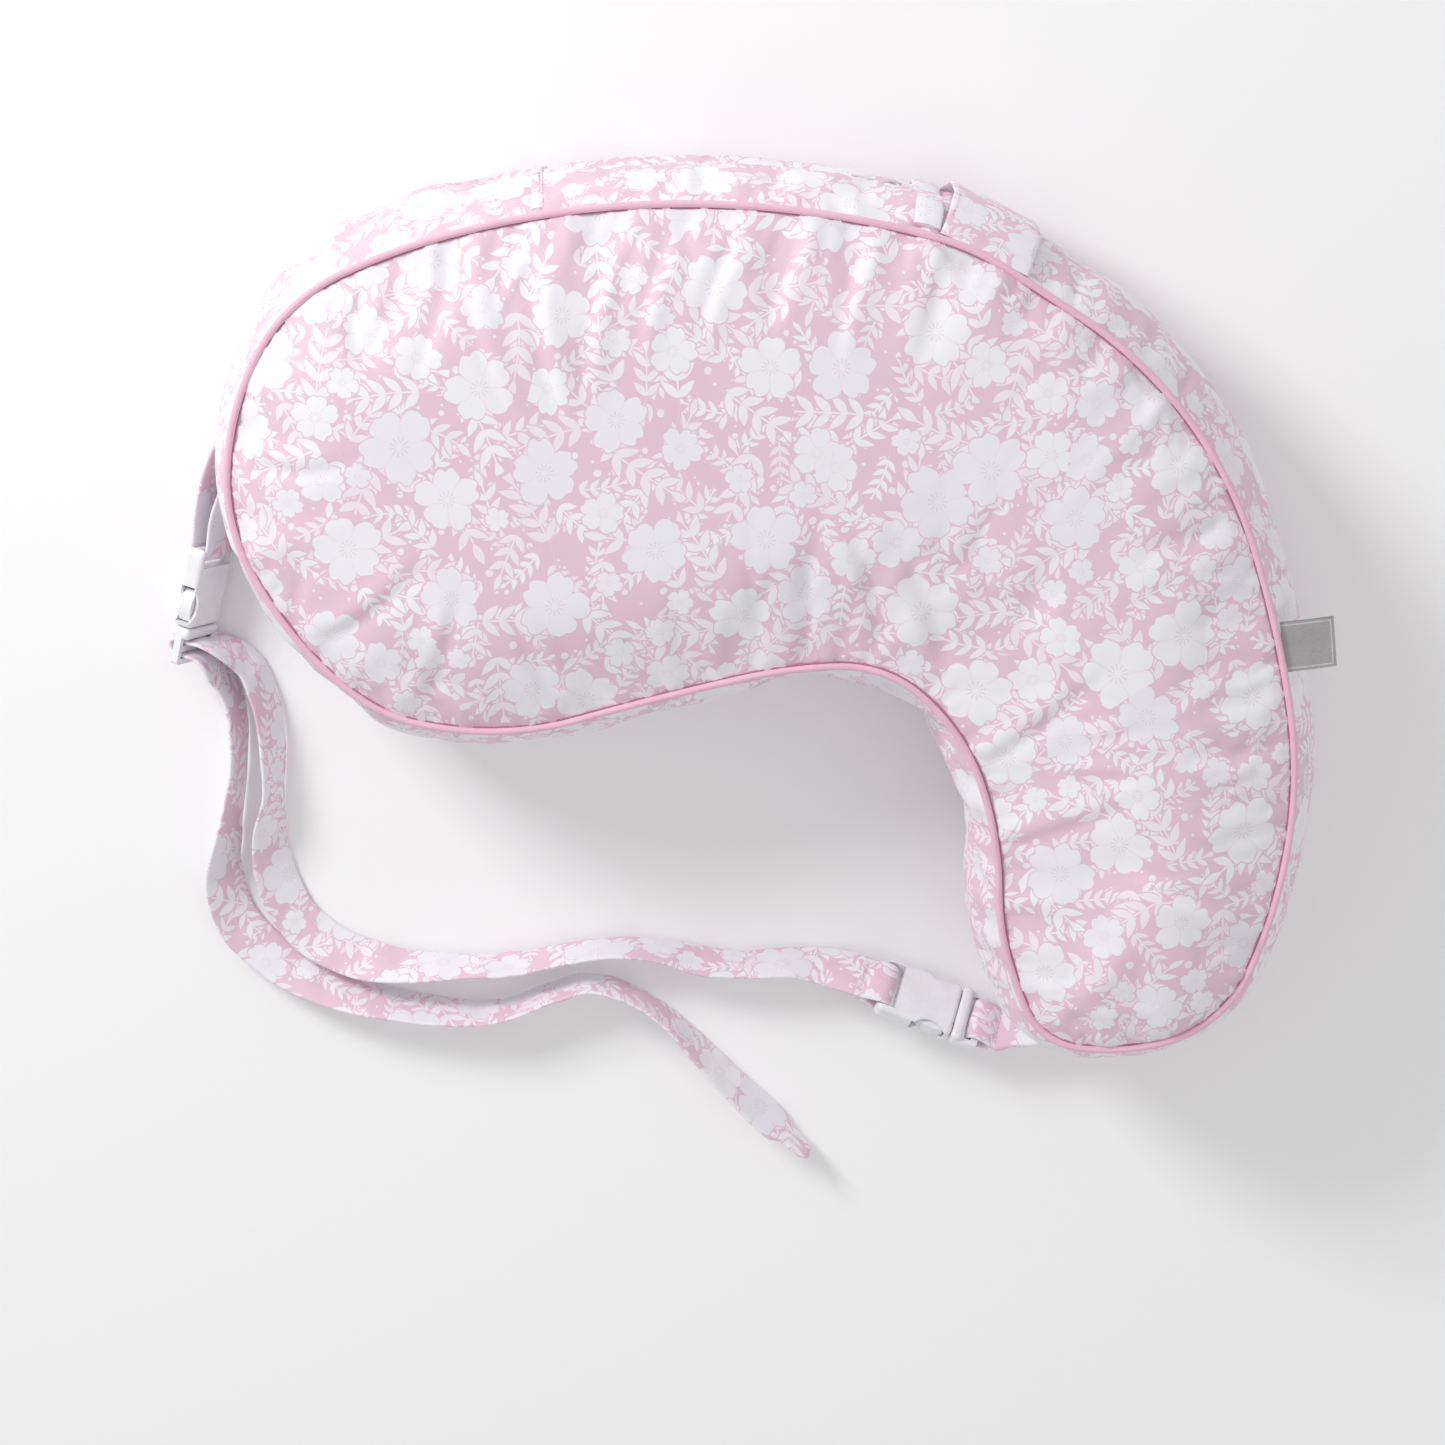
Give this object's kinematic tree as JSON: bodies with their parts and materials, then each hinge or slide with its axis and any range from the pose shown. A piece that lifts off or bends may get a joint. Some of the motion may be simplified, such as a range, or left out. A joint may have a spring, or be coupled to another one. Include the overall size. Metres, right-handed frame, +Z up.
{
  "type": "nursing pillow",
  "caption": "Curved, boxed nursing pillow in a zipped floral cover with piping, a carry handle and a waist belt on side-release buckles.",
  "frame": {"origin": "on the floor, under the middle of the plan outline of the pillow's top seam", "axes": "+X along the pillow from the buckle lobe to the label side, +Y towards the zipped back wall, +Z up"},
  "size_m": [0.6189, 0.5624, 0.13],
  "materials": {
    "cover_print": "pink cotton with a white floral print",
    "strap_print": "the cover's cotton print, folded and sewn",
    "piping": "plain pink corded piping",
    "zip_tape": "pink woven zip tape",
    "zip_plastic": "moulded nylon coil",
    "zip_metal": "enamelled die-cast slider",
    "label": "grey woven label, plain",
    "casing": "white non-woven casing",
    "fibre": "polyester fibre fill",
    "foam": "polyurethane foam",
    "buckle_plastic": "white moulded acetal"
  },
  "bodies": {
    "root": {"cover_top_panel": "cover_print", "cover_bottom_panel": "cover_print", "boxing_front": "cover_print", "boxing_zip_upper": "cover_print", "boxing_zip_lower": "cover_print", "zip_end_flap": "cover_print", "carry_handle": "cover_print", "left_anchor_strap": "strap_print", "right_anchor_strap": "strap_print", "right_anchor_loop": "strap_print", "belt_main": "strap_print", "belt_tail": "strap_print", "piping_top": "piping", "piping_bottom": "piping", "zipper_tape_upper": "zip_tape", "zipper_tape_lower": "zip_tape", "zipper_coil_upper": "zip_plastic", "zipper_coil_lower": "zip_plastic", "zipper_top_stops": "zip_plastic", "zipper_bottom_stop": "zip_plastic", "side_label": "label", "inner_casing": "casing", "fibre_fill_top": "fibre", "fibre_fill_bottom": "fibre", "foam_core": "foam", "left_buckle_socket": "buckle_plastic", "right_buckle_plug": "buckle_plastic"},
    "left_plug": {"left_buckle_plug": "buckle_plastic", "adjuster_loop": "strap_print"},
    "left_arm_a": {"left_release_arm_a": "buckle_plastic"},
    "left_arm_b": {"left_release_arm_b": "buckle_plastic"},
    "right_socket": {"right_buckle_socket": "buckle_plastic", "right_belt_loop": "strap_print"},
    "right_arm_a": {"right_release_arm_a": "buckle_plastic"},
    "right_arm_b": {"right_release_arm_b": "buckle_plastic"},
    "zip_slider": {"zipper_slider": "zip_metal"},
    "zip_pull": {"zipper_pull": "zip_metal"}
  },
  "joints": [
    {"name": "left_buckle_release", "type": "slide", "parent": "root", "child": "left_plug", "axis": [-0.2164, -0.9763, 0], "range_m": [0, 0.033], "deforming": ["belt_main", "belt_tail", "left_release_arm_a", "left_release_arm_b"]},
    {"name": "left_arm_a_squeeze", "type": "hinge", "parent": "left_plug", "child": "left_arm_a", "pos_m": [-0.30214, -0.01582, 0.00916], "axis": [0.8848, -0.1962, 0.4226], "range_deg": [0, 10], "stiffness_Nm_per_rad": 0.02},
    {"name": "left_arm_b_squeeze", "type": "hinge", "parent": "left_plug", "child": "left_arm_b", "pos_m": [-0.3099, -0.0141, 0.0262], "axis": [-0.8848, 0.1962, -0.4226], "range_deg": [0, 10], "stiffness_Nm_per_rad": 0.02},
    {"name": "right_buckle_release", "type": "slide", "parent": "root", "child": "right_socket", "axis": [-0.9272, 0.3746, 0], "range_m": [0, 0.033], "deforming": ["belt_main", "right_release_arm_a", "right_release_arm_b"]},
    {"name": "right_arm_a_squeeze", "type": "hinge", "parent": "root", "child": "right_arm_a", "pos_m": [0.10824, -0.23093, 0.00933], "axis": [0.2695, 0.667, 0.6947], "range_deg": [0, 10], "stiffness_Nm_per_rad": 0.02},
    {"name": "right_arm_b_squeeze", "type": "hinge", "parent": "root", "child": "right_arm_b", "pos_m": [0.10335, -0.24304, 0.02285], "axis": [-0.2695, -0.667, -0.6947], "range_deg": [0, 10], "stiffness_Nm_per_rad": 0.02},
    {"name": "zip_slide", "type": "hinge", "parent": "root", "child": "zip_slider", "pos_m": [-0.03995, -0.24224, 0.052], "axis": [0, 0, 1], "range_deg": [0, 20.2], "deforming": ["zipper_coil_upper", "zipper_coil_lower"]},
    {"name": "zip_pull_swing", "type": "hinge", "parent": "zip_slider", "child": "zip_pull", "pos_m": [0.06658, 0.22696, 0.052], "axis": [0, 0, -1], "range_deg": [0, 170]}
  ],
  "couplings": [
    {"joint": "left_arm_b_squeeze", "follows": "left_arm_a_squeeze", "ratio": 1},
    {"joint": "right_arm_b_squeeze", "follows": "right_arm_a_squeeze", "ratio": 1}
  ]
}
